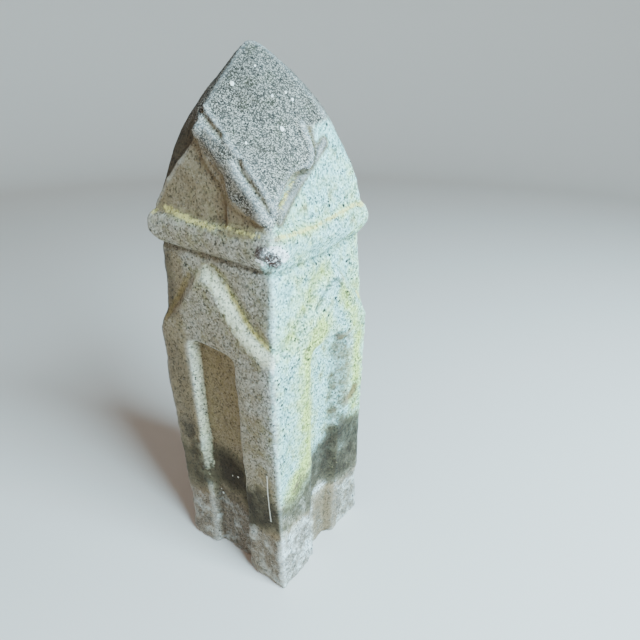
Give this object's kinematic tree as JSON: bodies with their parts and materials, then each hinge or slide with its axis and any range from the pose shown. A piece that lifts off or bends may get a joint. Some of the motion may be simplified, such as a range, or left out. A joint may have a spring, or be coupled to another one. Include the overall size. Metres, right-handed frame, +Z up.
{
  "type": "pier finial",
  "caption": "Square cast-stone pier finial with gabled niches on its faces, a roll moulding and a pointed helm-shaped top.",
  "frame": {"origin": "centre of the bounding box on the flat underside, which stands on z = 0", "axes": "+Z up from the underside to the tip; -Y out of the wall on the left of the picture, +X out of the wall on its right"},
  "size_m": [0.1014, 0.1014, 0.36],
  "materials": {
    "cast_stone": "weathered, sandy and pitted, with lichen and dark algae"
  },
  "bodies": {
    "root": {"pier_finial": "cast_stone"}
  },
  "joints": []
}
